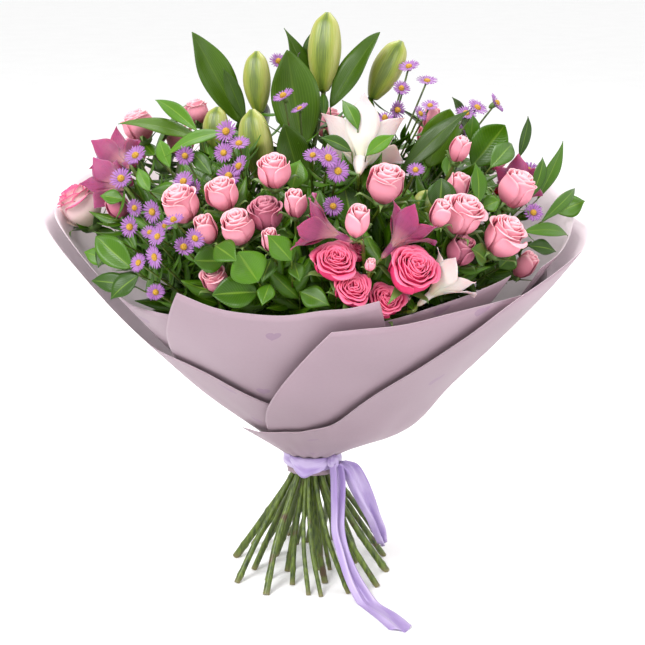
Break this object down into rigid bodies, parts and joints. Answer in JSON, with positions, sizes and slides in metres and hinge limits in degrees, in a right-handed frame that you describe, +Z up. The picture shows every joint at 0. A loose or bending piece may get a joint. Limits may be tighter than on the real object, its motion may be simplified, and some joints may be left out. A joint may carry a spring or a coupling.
{
  "type": "hand-tied mixed flower bouquet",
  "caption": "Dome of roses, lilies, alstroemeria and asters on a spiral of stems, gathered in wrapping paper and tied with a satin ribbon, standing on its cut stem ends.",
  "frame": {"origin": "on the surface that the bouquet stands on, below the middle of the whole bouquet", "axes": "+Z up along the bundle of stems, +Y towards the back of the bouquet, +X to the viewer's right"},
  "size_m": [0.4897, 0.3965, 0.5269],
  "materials": {
    "rose_pale": "soft matt petals, pale with a pink edge",
    "rose_light": "soft matt petals",
    "rose_dusky": "soft matt petals",
    "rose_hot": "soft matt petals",
    "lily_petal": "waxy cream petals",
    "alstroemeria_petal": "soft matt petals with dark streaks",
    "wrapping_paper": "matt, printed with small hearts",
    "ribbon_satin": "woven satin",
    "greenery": "waxy leaves, stems and buds"
  },
  "bodies": {
    "root": {"alstroemeria_1": "alstroemeria_petal", "alstroemeria_2": "alstroemeria_petal", "alstroemeria_3": "alstroemeria_petal", "alstroemeria_4": "alstroemeria_petal", "alstroemeria_5": "alstroemeria_petal", "alstroemeria_6": "alstroemeria_petal", "alstroemeria_stem_1": "greenery", "alstroemeria_stem_2": "greenery", "alstroemeria_stem_3": "greenery", "aster_spray_1": "greenery", "aster_spray_2": "greenery", "aster_spray_3": "greenery", "aster_spray_4": "greenery", "aster_spray_5": "greenery", "foliage_1": "greenery", "foliage_2": "greenery", "foliage_3": "greenery", "foliage_4": "greenery", "foliage_5": "greenery", "lily_open": "lily_petal", "lily_stem_1": "greenery", "lily_stem_2": "greenery", "lily_stem_3": "greenery", "paper_back_left": "wrapping_paper", "paper_back_right": "wrapping_paper", "paper_centre": "wrapping_paper", "paper_front_inner": "wrapping_paper", "paper_front_left": "wrapping_paper", "paper_left": "wrapping_paper", "paper_right": "wrapping_paper", "ribbon": "ribbon_satin", "rose_01": "rose_pale", "rose_02": "rose_dusky", "rose_03": "rose_light", "rose_04": "rose_light", "rose_05": "rose_light", "rose_06": "rose_light", "rose_07": "rose_light", "rose_08": "rose_light", "rose_09": "rose_dusky", "rose_10": "rose_light", "rose_11": "rose_light", "rose_12": "rose_hot", "rose_13": "rose_hot", "rose_14": "rose_hot", "rose_15": "rose_hot", "rose_16": "rose_hot", "rose_17": "rose_light", "rose_18": "rose_dusky", "rose_19": "rose_light", "rose_20": "rose_light", "rose_stem_1": "greenery", "rose_stem_2": "greenery", "rose_stem_3": "greenery", "rose_stem_4": "greenery", "rose_stem_5": "greenery", "rose_stem_6": "greenery", "rose_stem_7": "greenery", "rose_stem_8": "greenery", "rose_stem_9": "greenery"}
  },
  "joints": []
}
